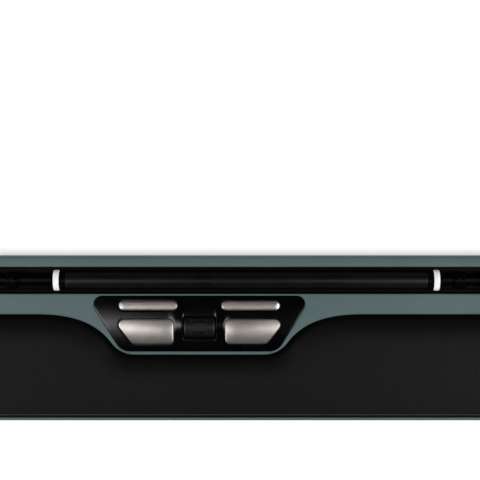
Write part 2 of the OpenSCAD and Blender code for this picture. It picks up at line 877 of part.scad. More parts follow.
module roller_cradle() {
    step = [[riser_x - CUT, channel_z], [riser_x + channel_t, channel_z], [riser_x + channel_t, tab_z],
            [tab_end, tab_z], [tab_end, tab_z + channel_t], [riser_x, tab_z + channel_t],
            [riser_x, channel_z + channel_t], [riser_x - CUT, channel_z + channel_t]];
    y0 = roller_y - channel_half_w;
    y1 = roller_y + channel_half_w;
    screw_x = block_x + block_w / 2;
    color(BLACK) difference() {
        union() {
            block(-riser_x, riser_x, y0, y1, channel_z, channel_z + channel_t);
            for (y = [y0, y1 - channel_t])
                block(-riser_x, riser_x, y, y + channel_t, channel_z, channel_wall_top);
            for (s = [0, 1]) mirror([s, 0, 0]) along_y(y0, y1) polygon(step);
            post([click_x, click_y], click_shelf_z + switch_h - nib_dip, tab_z + EPS, nib_r);
        }
        for (s = [-1, 1]) {
            post([s * post_x, roller_y], tab_z - CUT, tab_z + channel_t + CUT, post_r + RUN);
            for (y = [-block_screw_y, block_screw_y]) {
                post([s * screw_x, roller_y + y], channel_z - CUT, channel_z + 0.8, 1.8);
                post([s * screw_x, roller_y + y], channel_z, channel_z + channel_t + CUT, 0.9);
            }
        }
        block(-11.5, 11.5, roller_y - 4.5, roller_y + 4.5, channel_z - CUT, channel_z + channel_t + CUT);
    }
}

module cradle_screws() {
    screw_x = block_x + block_w / 2;
    color(STEEL) for (s = [-1, 1], y = [-block_screw_y, block_screw_y])
        screw([s * screw_x, roller_y + y], channel_z, 1.7, 0.8, 0.8, 3.6);
}

module cradle_springs() {
    color(STEEL) for (s = [-1, 1]) coil([s * post_x, roller_y], floor_top, tab_z, post_r + 0.9, 0.3, 6);
}

module cradle_clips() {
    z0 = tab_z + channel_t + 0.05;
    color(STEEL) for (s = [-1, 1]) retaining_clip([s * post_x, roller_y], z0, post_r, 3.6);
}

module yoke_clips() {
    color(STEEL) at_cluster() for (s = [-1, 1])
        retaining_clip([guide_dx, wheel_y + s * guide_dy], yoke_z + yoke_h + 0.05, guide_r, 2.3);
}

// A push-on clip: a thin ring with a mouth at one side
module retaining_clip(p, z0, r_in, r_out) {
    difference() {
        post(p, z0, z0 + 0.5, r_out);
        post(p, z0 - CUT, z0 + CUT, r_in + SNUG);
        translate([p.x, p.y - r_in / 2, z0 - CUT]) cube([r_out + CUT, r_in, 3 * CUT]);
    }
}

roller_left = roller_shift - roller_half;
roller_right = roller_shift + roller_half;

module carriage_tube() {
    x0 = roller_left - cap_gap;
    x1 = roller_right + cap_gap;
    color(GREY) {
        tube_x(x0, x1, carriage_r, rail_r + RUN);
        key_rib(x0, x1, roller_z + rail_r + 2 * RUN);
    }
}

module carriage_end_caps() {
    cap_r = 5.6;
    color(BLACK) {
        tube_x(roller_left - cap_gap - cap_w, roller_left - cap_gap, cap_r, rail_r + RUN);
        tube_x(roller_right + cap_gap, roller_right + cap_gap + cap_w, cap_r, rail_r + RUN);
    }
}

module roller_core_tube() {
    color(STEEL) tube_x(roller_left, roller_right, core_r, carriage_r + RUN);
}

module roller_sleeve() {
    half = sleeve_length / 2;
    color(GREY) tube_x(roller_shift - half, roller_shift + half, sleeve_d / 2, core_r);
}

module roller_collars() {
    color(BLACK) for (s = [0, 1]) translate([roller_shift, 0, 0]) mirror([s, 0, 0])
        tube_x(sleeve_length / 2, sleeve_length / 2 + collar_w, collar_d / 2, core_r);
}

module roller_ring_left() {
    color(IVORY) tube_x(roller_left, roller_left + ring_w, ring_d / 2, core_r);
}

module roller_ring_right() {
    color(IVORY) tube_x(roller_right - ring_w, roller_right, ring_d / 2, core_r);
}

bottom_tray();
top_cover();
slot_liner();
wrist_rest_pad();
wrist_rest_plate();
control_panel();
rubber_feet();
housing_screws();
left_click_button();
right_click_button();
left_pill_button();
right_pill_button();
scroll_wheel_tyre();
scroll_wheel_hub();
wheel_axle();
wheel_yoke();
wheel_encoder();
wheel_springs();
wheel_click_switch();
button_switches();
main_pcb();
controller_chips();
pcb_screws();
guide_rail();
rail_end_blocks();
travel_stops();
stop_bumpers();
roller_cradle();
cradle_screws();
cradle_springs();
cradle_clips();
yoke_clips();
roller_click_switch();
sensor_board();
sensor_chip();
sensor_lens();
sensor_ribbon();
carriage_tube();
carriage_end_caps();
roller_core_tube();
roller_sleeve();
roller_ring_left();
roller_ring_right();
roller_collars();
port_board();
port_screws();
usb_receptacle();
port_ribbon();
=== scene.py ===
"""Looks for the roller-bar mouse: shells, soft pad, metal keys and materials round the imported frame."""
import math

import bpy
import numpy as np
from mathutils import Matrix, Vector, geometry, kdtree


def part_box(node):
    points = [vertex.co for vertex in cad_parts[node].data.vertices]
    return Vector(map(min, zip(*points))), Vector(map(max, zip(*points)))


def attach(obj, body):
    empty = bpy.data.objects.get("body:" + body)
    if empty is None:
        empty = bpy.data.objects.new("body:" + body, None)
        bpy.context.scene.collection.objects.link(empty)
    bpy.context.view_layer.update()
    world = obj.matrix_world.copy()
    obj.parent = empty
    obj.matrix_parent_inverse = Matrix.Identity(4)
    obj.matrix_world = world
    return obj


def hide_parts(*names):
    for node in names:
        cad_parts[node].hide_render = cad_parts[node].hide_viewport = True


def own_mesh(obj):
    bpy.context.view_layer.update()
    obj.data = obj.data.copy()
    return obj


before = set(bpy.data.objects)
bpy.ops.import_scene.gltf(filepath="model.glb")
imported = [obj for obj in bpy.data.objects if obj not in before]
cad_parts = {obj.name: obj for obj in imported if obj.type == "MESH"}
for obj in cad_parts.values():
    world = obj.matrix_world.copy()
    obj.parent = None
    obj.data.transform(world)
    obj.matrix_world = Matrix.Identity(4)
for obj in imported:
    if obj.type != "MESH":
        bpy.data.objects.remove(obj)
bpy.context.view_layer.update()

MM = 0.001


# ---------------------------------------------------------------- sizes, in millimetres

def box_mm(node):
    low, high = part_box(node)
    return low / MM, high / MM


tray_high = box_mm("bottom_tray")[1]
cover_low, cover_high = box_mm("top_cover")
panel_low, panel_high = box_mm("control_panel")
pad_low, pad_high = box_mm("wrist_rest_pad")
sleeve_low, sleeve_high = box_mm("roller_sleeve")
wheel_low, wheel_high = box_mm("scroll_wheel_tyre")
liner_low, liner_high = box_mm("slot_liner")
large_high = box_mm("right_click_button")[1]
pill_high = box_mm("right_pill_button")[1]
cradle_low, cradle_high = box_mm("roller_cradle")

HALF_L = tray_high.x
HALF_D = tray_high.y
COVER_TOP = cover_high.z
TRAY_TOP = COVER_TOP - 10  # the seam between the tray and the cover
PAD_GAP = 0.4  # between the cover and the pad
PAD_LINE = pad_high.y + PAD_GAP
CLUSTER_X = (panel_low.x + panel_high.x) / 2
APRON_Y = cover_low.y
ROLLER_Y = (sleeve_low.y + sleeve_high.y) / 2
ROLLER_Z = (sleeve_low.z + sleeve_high.z) / 2
WHEEL_Y = (wheel_low.y + wheel_high.y) / 2
WHEEL_Z = (wheel_low.z + wheel_high.z) / 2
WHEEL_R = (wheel_high.z - wheel_low.z) / 2
WHEEL_W = wheel_high.x - wheel_low.x
LINER_T = 0.8
SLOT_FRONT = liner_low.y + LINER_T
SLOT_BACK = liner_high.y - LINER_T
SLOT_HALF = liner_high.x - LINER_T
PANEL_BACK = panel_high.y
PANEL_FRONT = APRON_Y + 2.3
PANEL_TOP = COVER_TOP - 0.7
PLATE_UNDER = COVER_TOP - 2.2
WALL = 1.8
KEY_LOW = panel_low.z
CORE_R = 5.4  # bore of the sleeve and the rings
HUB_R = 5.0  # bore of the tyre

# The cover: corner and edge radii, the seam's shadow groove, and how far its top falls or rolls off
CORNER_R = 10.0
EDGE_FRONT, EDGE_BACK, HOLE_EDGE = 1.3, 2.4, 0.45
REVEAL = 0.5
FRONT_FALL, BACK_FALL = 0.8, 0.15
COVER_ROLL_WIDTH, COVER_ROLL_DROP = 8, 0.16

# The pad: its profile from front to back, how it dips beside the cover, and its rolled edges
PAD_PROFILE = [(-49.5, 15.2), (-44, 15.65), (-36, 16.2), (-27, 16.65), (-14, 17.05), (-4, 17.2), (17, 17.2)]
PAD_ROLL_WIDTH, PAD_ROLL_DROP = 23.0, 6.0
PAD_CORNER_R, PAD_EDGE_FRONT, PAD_EDGE_BACK = 8, 1.7, 3.9

# The panel: its crown, its tilt, the opening for the wheel, and the cheeks beside it
PANEL_CROWN, PANEL_TILT, PANEL_LIFT = 0.9, 0.18, 0.3
OPENING_HALF_X, OPENING_HALF_Y = 10.9, 7.6
CHEEK_RISE, CHEEK_REACH, CHEEK_FORWARD, CHEEK_SLOPE = 0.4, 12.5, 0.9, 0.07
CHEEK_INNER, CHEEK_OUTER, CHEEK_STEP, CHEEK_FADE = 10.2, 20.4, 0.6, 5
PANEL_EDGE, PANEL_HOLE_EDGE = 0.3, 0.05
PANEL_FIT = 0.15  # gap round the panel
KEY_GAP = 0.35  # gap round a key

# The keys' faces; reach and fall give how the outer and the inner end drop away
LARGE_FACE = {"top": large_high.z + 0.2, "dome": (0.95, 0.95), "tilt": 0.45, "edge": 0.45,
              "outer": (26, 1.2), "inner": (7.5, 0.5)}
PILL_FACE = {"top": pill_high.z, "dome": (0.36, 0.216), "tilt": -0.13, "edge": 0.5,
             "outer": (1.5, 0.2), "inner": (1.5, 0.2)}

# Mesh spacing
COVER_STEP, PAD_STEP, PANEL_STEP, KEY_STEP = 2.5, 4.0, 0.9, 0.8
SHARP = 38.0  # degrees


# ---------------------------------------------------------------- outlines

def left_of(v):
    return Vector((-v.y, v.x))


def corner_points(a, b, c, radius, steps):
    """A rounded corner at b on the way from a to c."""
    u, w = (a - b).normalized(), (c - b).normalized()
    half = math.acos(max(-1, min(1, u.dot(w)))) / 2
    middle = b + (u + w).normalized() * radius / math.sin(half)
    start = b + u * radius / math.tan(half) - middle
    turn = math.copysign(math.pi - 2 * half, (b - a).cross(c - b))
    angle = math.atan2(start.y, start.x)
    return [middle + radius * Vector((math.cos(angle + turn * k / steps), math.sin(angle + turn * k / steps)))
            for k in range(steps + 1)]


def rounded(points, radii, grow=0.0, steps=8):
    """A convex outline with round corners, moved outwards by grow."""
    pts = [Vector(p) for p in points]
    n = len(pts)
    moved = []
    for i, b in enumerate(pts):
        u, w = (pts[i - 1] - b).normalized(), (pts[(i + 1) % n] - b).normalized()
        half = math.acos(u.dot(w)) / 2
        moved.append(b - (u + w).normalized() * grow / math.sin(half))
    out = []
    for i, b in enumerate(moved):
        out += corner_points(moved[i - 1], b, moved[(i + 1) % n], max(radii[i] + grow, 0.15), steps)
    return out


def rectangle(x0, x1, y0, y1):
    return [(x0, y0), (x1, y0), (x1, y1), (x0, y1)]


def spread(points, longest):
    """The same closed outline with extra points, so that no stretch is longer than longest."""
    out = []
    for a, b in zip(points, points[1:] + points[:1]):
        parts = max(1, math.ceil((b - a).length / longest))
        out += [a.lerp(b, k / parts) for k in range(parts)]
    return out


def clean(points, least=0.02):
    """The closed outline without points that nearly coincide."""
    return [p for i, p in enumerate(points) if (p - points[i - 1]).length > least]


# The cover's front edge has an apron with round corners and a long swoop out to the pad line
APRON_HALF, APRON_R, SWOOP_ANGLE = 41.5, 18.65, math.radians(53.2)
SWOOP_REACH, SWOOP_IN, SWOOP_OUT = 104.1, 14.5, 25.4


def front_half(inset, steps=30):
    """Right half of the front edge from the apron outwards, moved into the cover by inset."""
    middle = Vector((APRON_HALF, APRON_Y + APRON_R))
    out = []
    for k in range(13):
        a = SWOOP_ANGLE * k / 12
        out.append(middle + (APRON_R - inset) * Vector((math.sin(a), -math.cos(a))))
    way = Vector((math.cos(SWOOP_ANGLE), math.sin(SWOOP_ANGLE)))
    p0 = middle + APRON_R * Vector((math.sin(SWOOP_ANGLE), -math.cos(SWOOP_ANGLE)))
    p1 = p0 + SWOOP_IN * way
    p3 = Vector((SWOOP_REACH, PAD_LINE))
    p2 = p3 - Vector((SWOOP_OUT, 0))
    for k in range(1, steps + 1):
        t = k / steps
        s = 1 - t
        p = p0 * s**3 + p1 * 3 * t * s * s + p2 * 3 * t * t * s + p3 * t**3
        d = (p1 - p0) * s * s + (p2 - p1) * 2 * t * s + (p3 - p2) * t * t
        out.append(p + left_of(d.normalized()) * inset)
    return out


def front_edge(inset=0.0):
    """The whole front edge from left to right."""
    half = front_half(inset)
    left = [Vector((CLUSTER_X - p.x, p.y)) for p in reversed(half)]
    return left + [Vector((CLUSTER_X + p.x, p.y)) for p in half]


def panel_outline(grow=0.0):
    corners = [(-50.2, PANEL_FRONT), (50.2, PANEL_FRONT), (72.2, PANEL_BACK), (-72.2, PANEL_BACK)]
    return [p + Vector((CLUSTER_X, 0)) for p in rounded(corners, [10, 10, 5.5, 5.5], grow, 10)]


def mirrored(points):
    """The outline on the other side of the cluster's middle, still counter-clockwise."""
    return [Vector((2 * CLUSTER_X - p.x, p.y)) for p in reversed(points)]


def large_outline(side, grow=0.0):
    inner, outer = 16.7, 55.6
    back, front = PANEL_BACK - 14.85, PANEL_FRONT + 4.6
    corners = [(inner, front), (43, front), (outer, back), (inner, back)]
    pts = [p + Vector((CLUSTER_X, 0)) for p in rounded(corners, [3, 3.2, 3.6, 3.2], grow)]
    return pts if side > 0 else mirrored(pts)


def pill_outline(side, grow=0.0):
    inner, outer = 14.3, 51.6
    back, front = PANEL_BACK - 3.3, PANEL_BACK - 9.3
    r = (back - front) / 2 - 0.01
    corners = rectangle(inner, outer, front, back)
    pts = [p + Vector((CLUSTER_X, 0)) for p in rounded(corners, [r] * 4, grow, 10)]
    return pts if side > 0 else mirrored(pts)


def wheel_outline():
    y, half_x, half_y = WHEEL_Y - 0.6, OPENING_HALF_X, OPENING_HALF_Y
    pts = rounded(rectangle(-half_x, half_x, y - half_y, y + half_y), [1.5] * 4)
    return [p + Vector((CLUSTER_X, 0)) for p in pts]


# ---------------------------------------------------------------- mesh building

def as_array(loop):
    return np.array([tuple(p) for p in loop], float)


def inside(points, loop):
    """For each of many points, whether it is inside one closed loop."""
    a = as_array(loop)
    b = np.roll(a, -1, axis=0)
    hit = np.zeros(len(points), bool)
    for (ax, ay), (bx, by) in zip(a, b):
        if ay == by:
            continue
        crosses = (ay > points[:, 1]) != (by > points[:, 1])
        hit ^= crosses & (points[:, 0] < (bx - ax) * (points[:, 1] - ay) / (by - ay) + ax)
    return hit


def covered(points, loops):
    """For each point, whether it is inside the first loop and outside all the others."""
    out = inside(points, loops[0])
    for hole in loops[1:]:
        out &= ~inside(points, hole)
    return out


def gap_to(points, loop):
    """For each point, the distance to the nearest stretch of the loop."""
    a = as_array(loop)
    b = np.roll(a, -1, axis=0)
    best = np.full(len(points), 1e9)
    for start, end in zip(a, b):
        way = end - start
        share = np.clip((points - start) @ way / max(way @ way, 1e-12), 0, 1)
        best = np.minimum(best, np.linalg.norm(points - start - share[:, None] * way, axis=1))
    return best


def grid_inside(loops, spacing):
    low, high = as_array(loops[0]).min(0), as_array(loops[0]).max(0)
    rows = np.arange(low[1] + spacing * 0.4, high[1], spacing * 0.87)
    points = np.array([(x, y) for k, y in enumerate(rows)
                       for x in np.arange(low[0] + (k % 2) * spacing / 2, high[0], spacing)])
    points = points[covered(points, loops)]
    for loop in loops:
        points = points[gap_to(points, loop) > spacing * 0.5]
    return points


def normals_of(points):
    """For each point the way into the material on its left, stretched at corners."""
    out = []
    n = len(points)
    for i, p in enumerate(points):
        a = (p - points[i - 1]).normalized()
        b = (points[(i + 1) % n] - p).normalized()
        way = (left_of(a) + left_of(b)).normalized()
        out.append(way / max(0.5, way.dot(left_of(a))))
    return out


def inset(points, depth):
    return [p + w * depth for p, w in zip(points, normals_of(points))]


class Skin:
    """Collects points in millimetres and faces, then makes one object."""

    def __init__(self):
        self.points = []
        self.faces = []

    def ring(self, points):
        first = len(self.points)
        self.points += [tuple(p) for p in points]
        return list(range(first, len(self.points)))

    def flat_ring(self, points, z):
        return self.ring((p.x, p.y, z) for p in points)

    def bridge(self, a, b):
        n = len(a)
        for i in range(n):
            j = (i + 1) % n
            self.faces.append((a[i], a[j], b[j], b[i]))

    def fill(self, loops, height=None, spacing=None, flip=False):
        """Triangles between an outer loop and hole loops, all lists of point numbers."""
        flat = [[Vector(self.points[i][:2]) for i in loop] for loop in loops]
        verts, edges, source = [], [], []
        for loop, ids in zip(flat, loops):
            start = len(verts)
            verts += loop
            source += ids
            edges += [(start + i, start + (i + 1) % len(loop)) for i in range(len(loop))]
        if spacing:
            for x, y in grid_inside(flat, spacing):
                verts.append(Vector((x, y)))
                source.append(len(self.points))
                self.points.append((x, y, height(x, y)))
        out = geometry.delaunay_2d_cdt(verts, edges, [], 0, 1e-6, True)
        origin = [ids[0] if ids else -1 for ids in out[3]]
        tris = [[origin[i] for i in tri] for tri in out[2]]
        tris = np.array([t for t in tris if -1 not in t])
        middle = np.array([(v.x, v.y) for v in verts])[tris].mean(1)
        for tri in tris[covered(middle, flat)]:
            ids = [source[i] for i in tri]
            self.faces.append(tuple(reversed(ids)) if flip else tuple(ids))

    def make(self, name, sharp=SHARP):
        mesh = bpy.data.meshes.new(name)
        mesh.from_pydata([(x * MM, y * MM, z * MM) for x, y, z in self.points], [], self.faces)
        mesh.validate()
        mesh.shade_smooth()
        mesh.set_sharp_from_angle(angle=math.radians(sharp))
        obj = bpy.data.objects.new(name, mesh)
        bpy.context.collection.objects.link(obj)
        return obj


def rolled_edge(skin, points, first, height, radius, steps=6):
    """Bridges from the ring first up to a rounded edge, and returns its innermost ring."""
    ways = normals_of(points)
    last = first
    for k in range(steps + 1):
        a = math.pi / 2 * k / steps
        ring = []
        for p, w in zip(points, ways):
            r = radius(p.x, p.y) if callable(radius) else radius
            q = p + w * r * (1 - math.cos(a))
            ring.append((q.x, q.y, height(q.x, q.y) - r * (1 - math.sin(a))))
        ring = skin.ring(ring)
        skin.bridge(last, ring)
        last = ring
    return last


def add_plate(skin, outer, holes, low, height, radius, hole_radius=0.4, spacing=None, steps=6):
    """A closed plate with rounded top edges; height(x, y) shapes its top."""
    bottoms, tops = [], []
    for k, loop in enumerate([outer] + [list(reversed(h)) for h in holes]):
        bottoms.append(skin.flat_ring(loop, low))
        tops.append(rolled_edge(skin, loop, bottoms[-1], height, hole_radius if k else radius,
                                4 if k else steps))
    skin.fill(tops, height, spacing)
    skin.fill(bottoms, flip=True)


def lathe_x(name, profile, y, z, steps=96):
    """A closed turned piece about an axis along X; profile is a closed loop of (x, radius)."""
    skin = Skin()
    turns = [2 * math.pi * k / steps for k in range(steps)]
    rings = [skin.ring((x, y + r * math.cos(a), z + r * math.sin(a)) for a in turns) for x, r in profile]
    for a, b in zip(rings, rings[1:] + rings[:1]):
        skin.bridge(b, a)
    return skin.make(name)


def tube_profile(x0, x1, r_out, r_in, edge, steps=4):
    """Profile of a tube with rounded outer edges."""
    turns = [math.pi / 2 * k / steps for k in range(steps + 1)]
    start = [(x0 + edge * (1 - math.sin(a)), r_out - edge * (1 - math.cos(a))) for a in reversed(turns)]
    end = [(x1 - edge * (1 - math.sin(a)), r_out - edge * (1 - math.cos(a))) for a in turns]
    return [(x0, r_in)] + start + end + [(x1, r_in)]


def put(obj, body, slot, *nodes):
    """The piece rides on a body, takes its finish from a slot and stands for CAD nodes."""
    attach(obj, body)
    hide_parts(*nodes)
    obj.data.materials.clear()
    obj.data.materials.append(MATERIALS[slot])
    return obj


# ---------------------------------------------------------------- materials

class Finish:
    """One procedural material, wired in object space so that grain keeps its real size."""

    def __init__(self, name, rough, metallic=0.0, ior=1.46, **fixed):
        self.mat = bpy.data.materials.new(name)
        self.mat.use_nodes = True
        self.tree = self.mat.node_tree
        self.shader = self.tree.nodes["Principled BSDF"]
        self.set(self.shader, {"Metallic": metallic, "IOR": ior, "Roughness": rough})
        self.set(self.shader, {k.replace("_", " "): v for k, v in fixed.items()})
        self.coords = self.tree.nodes.new("ShaderNodeTexCoord").outputs["Object"]

    def set(self, node, values):
        for key, value in values.items():
            if isinstance(value, bpy.types.NodeSocket):
                self.tree.links.new(value, node.inputs[key])
            else:
                node.inputs[key].default_value = value

    def node(self, kind, values=None, **props):
        node = self.tree.nodes.new("ShaderNode" + kind)
        for key, value in props.items():
            setattr(node, key, value)
        self.set(node, values or {})
        return node

    def stretched(self, x=1.0, y=1.0, z=1.0):
        return self.node("Mapping", {"Vector": self.coords, "Scale": (x, y, z)}).outputs[0]

    def noise(self, size_mm, detail=2.0, rough=0.5, vector=None):
        """Soft noise whose blobs are about size_mm across."""
        return self.node("TexNoise", {"Vector": vector or self.coords, "Scale": 1000 / size_mm,
                                      "Detail": detail, "Roughness": rough}).outputs[0]

    def cells(self, size_mm, feature="F1", vector=None, smooth=0.0):
        node = self.node("TexVoronoi", {"Vector": vector or self.coords, "Scale": 1000 / size_mm},
                         feature=feature)
        if feature == "SMOOTH_F1":
            node.inputs["Smoothness"].default_value = smooth
        return node.outputs["Distance"]

    def spread(self, value, low, high, start=0.3, end=0.7):
        """The value's range start to end becomes low to high."""
        return self.node("MapRange", {"Value": value, "From Min": start, "From Max": end,
                                      "To Min": low, "To Max": high}).outputs[0]

    def math(self, operation, a, b):
        return self.node("Math", {0: a, 1: b}, operation=operation).outputs[0]

    def blend(self, a, share, b):
        """The given share of a, and b for the rest."""
        return self.math("ADD", self.math("MULTIPLY", a, share), self.math("MULTIPLY", b, 1 - share))

    def mixed(self, share, a, b):
        node = self.node("Mix", data_type="RGBA")
        for socket, value in ((node.inputs[0], share), (node.inputs[6], a), (node.inputs[7], b)):
            if isinstance(value, bpy.types.NodeSocket):
                self.tree.links.new(value, socket)
            else:
                socket.default_value = value
        return node.outputs[2]

    def color(self, share, a, b):
        self.set(self.shader, {"Base Color": self.mixed(share, rgb(a), rgb(b))})

    def mottle(self, noise, a, b):
        """The colour wanders from a to b with a soft noise."""
        self.color(self.spread(noise, 0, 1), a, b)

    def roughness(self, value, low, high, start=0.3, end=0.7):
        self.set(self.shader, {"Roughness": self.spread(value, low, high, start, end)})

    def bump(self, *layers):
        """Layers of (height, depth in micrometres), from broad to fine."""
        normal = None
        for height, depth in layers:
            values = {"Height": height, "Distance": depth * 1e-6, "Strength": 1.0}
            if normal:
                values["Normal"] = normal
            normal = self.node("Bump", values).outputs[0]
        self.set(self.shader, {"Normal": normal})


def rgb(color):
    return (*color, 1.0)


def shell_teal():
    f = Finish("shell_teal", 0.42, ior=1.5, Specular_IOR_Level=0.3)
    grain, cloud = f.noise(0.22, 3, 0.6), f.noise(38, 3, 0.6)
    f.mottle(cloud, (0.0832, 0.1264, 0.1300), (0.0909, 0.1369, 0.1402))
    f.roughness(f.blend(grain, 0.6, cloud), 0.33, 0.45)
    f.bump((f.noise(1.1, 2), 3), (grain, 7))
    return f.mat


def black_plastic():
    f = Finish("black_plastic", 0.5, ior=1.46, Specular_IOR_Level=0.1)
    grain, cloud = f.noise(0.2, 3, 0.6), f.noise(20, 2)
    f.mottle(cloud, (0.0010, 0.0010, 0.0011), (0.0018, 0.0018, 0.0019))
    f.roughness(f.blend(grain, 0.6, cloud), 0.42, 0.62)
    f.bump((grain, 7))
    return f.mat


def black_satin():
    f = Finish("black_satin", 0.3, ior=1.46, Specular_IOR_Level=0.08)
    grain, cloud = f.noise(0.25, 3, 0.6), f.noise(9, 2)
    f.mottle(cloud, (0.0006, 0.0006, 0.0007), (0.0012, 0.0012, 0.0013))
    f.roughness(f.blend(grain, 0.6, cloud), 0.25, 0.38)
    f.bump((grain, 3))
    return f.mat


def black_gloss():
    f = Finish("black_gloss", 0.14, ior=1.46, Specular_IOR_Level=0.62)
    cloud, haze = f.noise(14, 3, 0.6), f.noise(0.5, 2)
    f.mottle(cloud, (0.0003, 0.0003, 0.0003), (0.0006, 0.0006, 0.0007))
    f.roughness(f.blend(cloud, 0.7, haze), 0.10, 0.15)
    f.bump((f.noise(9, 1), 4), (haze, 0.5))
    return f.mat


def pad_leather():
    f = Finish("pad_leather", 0.5, ior=1.42, Specular_IOR_Level=0.215)
    pebble = 0.95
    wander = f.node("TexNoise", {"Vector": f.coords, "Scale": 700, "Detail": 2}).outputs[1]
    shift = f.node("VectorMath", {0: wander, "Scale": 0.0007}, operation="SCALE").outputs[0]
    warped = f.node("VectorMath", {0: f.coords, 1: shift}, operation="ADD").outputs[0]
    pebbles = f.cells(pebble, "SMOOTH_F1", warped, 0.35)
    creases = f.spread(f.cells(pebble, "DISTANCE_TO_EDGE", warped), 0, 1, 0.0, 0.16)
    pores, cloud = f.noise(0.16, 2, 0.6), f.noise(26, 4, 0.6)
    # The colour is darker in the creases between the pebbles: painted shade.
    f.color(f.spread(creases, 0, 1, 0, 1), (0.0010, 0.0010, 0.0010), (0.0024, 0.0023, 0.0022))
    f.roughness(f.blend(pores, 0.5, cloud), 0.44, 0.56)
    f.bump((cloud, 60), (f.spread(pebbles, 1, 0, 0, 0.7), 22), (creases, 16), (pores, 7))
    return f.mat


def soft_rubber():
    f = Finish("soft_rubber", 0.45, ior=1.46, Specular_IOR_Level=0.42)
    grain, cloud = f.noise(0.2, 4, 0.7), f.noise(6, 3)
    f.mottle(cloud, (0.0010, 0.0010, 0.0011), (0.0022, 0.0022, 0.0023))
    f.roughness(grain, 0.38, 0.5)
    f.bump((cloud, 8), (grain, 6))
    return f.mat


def grip_rubber():
    f = Finish("grip_rubber", 0.38, ior=1.46, Specular_IOR_Level=0.29)
    grain, cloud = f.noise(0.14, 3, 0.65), f.noise(11, 3)
    rings = f.noise(0.45, 1, 0.5, f.stretched(1, 0.03, 0.03))
    f.mottle(cloud, (0.0008, 0.0008, 0.0008), (0.0016, 0.0016, 0.0016))
    f.roughness(f.blend(grain, 0.5, cloud), 0.32, 0.44)
    f.bump((rings, 2), (grain, 4))
    return f.mat


def button_metal():
    f = Finish("button_metal", 0.32, metallic=1.0)
    blast, cloud = f.noise(0.09, 3, 0.7), f.noise(7, 3)
    streak = f.noise(0.5, 3, 0.6, f.stretched(0.05, 1.6, 1.6))
    f.mottle(cloud, (0.50, 0.455, 0.425), (0.56, 0.515, 0.485))
    f.roughness(f.blend(blast, 0.5, streak), 0.27, 0.4)
    f.bump((streak, 0.8), (blast, 2.2))
    return f.mat


def ring_white():
    # The rings glow faintly: the emission is painted light that makes the white rings look brighter than the
    # lamps alone would.
    f = Finish("ring_white", 0.35, ior=1.48, Emission_Color=rgb((1, 1, 0.99)), Emission_Strength=0.14)
    grain, cloud = f.noise(0.25, 3), f.noise(5, 3)
    f.mottle(cloud, (0.84, 0.84, 0.83), (0.88, 0.88, 0.87))
    f.roughness(grain, 0.3, 0.42)
    f.bump((grain, 4))
    return f.mat


def core_aluminium():
    f = Finish("core_aluminium", 0.3, metallic=1.0)
    lines, cloud = f.noise(0.12, 3, 0.6, f.stretched(1.5, 0.05, 0.05)), f.noise(8, 3)
    f.mottle(cloud, (0.55, 0.56, 0.57), (0.66, 0.67, 0.68))
    f.roughness(lines, 0.24, 0.4)
    f.bump((lines, 2.5))
    return f.mat


def bright_steel():
    f = Finish("bright_steel", 0.22, metallic=1.0)
    lines, stain = f.noise(0.15, 3, 0.6), f.noise(3, 4, 0.7)
    f.mottle(stain, (0.48, 0.48, 0.47), (0.62, 0.62, 0.61))
    f.roughness(lines, 0.16, 0.34)
    f.bump((lines, 2))
    return f.mat


def board_green():
    f = Finish("board_green", 0.3, ior=1.5)
    tracks = f.node("TexBrick", {"Vector": f.coords, "Scale": 260.0, "Mortar Size": 0.06,
                                 "Color1": rgb((0, 0, 0)), "Color2": rgb((0.25, 0.25, 0.25)),
                                 "Mortar": rgb((1, 1, 1))}, offset=0.37).outputs[0]
    weave = f.noise(0.4, 2, 0.6)
    f.color(tracks, (0.008, 0.055, 0.026), (0.022, 0.12, 0.05))
    f.roughness(weave, 0.24, 0.4)
    f.bump((tracks, 25), (weave, 4))
    return f.mat


def chip_black():
    f = Finish("chip_black", 0.5, ior=1.5)
    grain = f.noise(0.12, 3, 0.7)
    f.mottle(grain, (0.008, 0.008, 0.009), (0.02, 0.02, 0.021))
    f.roughness(grain, 0.4, 0.65)
    f.bump((grain, 8))
    return f.mat


def lens_clear():
    f = Finish("lens_clear", 0.05, ior=1.49, Transmission_Weight=1.0)
    haze = f.noise(0.8, 2)
    f.mottle(haze, (0.93, 0.95, 0.96), (0.98, 0.98, 0.98))
    f.roughness(haze, 0.03, 0.08)
    f.bump((haze, 0.6))
    return f.mat


def ribbon_grey():
    f = Finish("ribbon_grey", 0.45, ior=1.5)
    wires = f.node("TexWave", {"Vector": f.coords, "Scale": 320.0}, bands_direction="DIAGONAL").outputs[1]
    grain = f.noise(0.3, 2)
    f.color(wires, (0.16, 0.16, 0.165), (0.42, 0.42, 0.41))
    f.roughness(grain, 0.35, 0.55)
    f.bump((wires, 40), (grain, 4))
    return f.mat


def floor_white():
    f = Finish("floor_white", 0.7, ior=1.4)
    grain, cloud = f.noise(1.2, 3), f.noise(420, 3)
    f.mottle(cloud, (0.87, 0.87, 0.87), (0.89, 0.89, 0.89))
    f.roughness(grain, 0.62, 0.78)
    f.bump((grain, 10))
    f.set(f.shader, {"Emission Color": rgb((1, 1, 1)), "Emission Strength": 0.5})
    return f.mat


MATERIALS = {make.__name__: make() for make in (
    shell_teal, black_plastic, black_satin, black_gloss, pad_leather, soft_rubber, grip_rubber, button_metal,
    ring_white, core_aluminium, bright_steel, board_green, chip_black, lens_clear, ribbon_grey, floor_white)}

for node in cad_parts.values():
    for place in node.material_slots:
        place.material = MATERIALS[place.material.name.split(".")[0]]
# The rail and the glossy parts on it look darker and duller than the panel
for name in ("guide_rail", "rail_end_blocks", "travel_stops", "stop_bumpers", "carriage_end_caps",
             "roller_collars"):
    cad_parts[name].material_slots[0].material = MATERIALS["black_satin"]


# ---------------------------------------------------------------- the case

def smooth(t):
    t = max(0.0, min(1.0, t))
    return t * t * (3 - 2 * t)


def between(t, low, high):
    return low + (high - low) * t


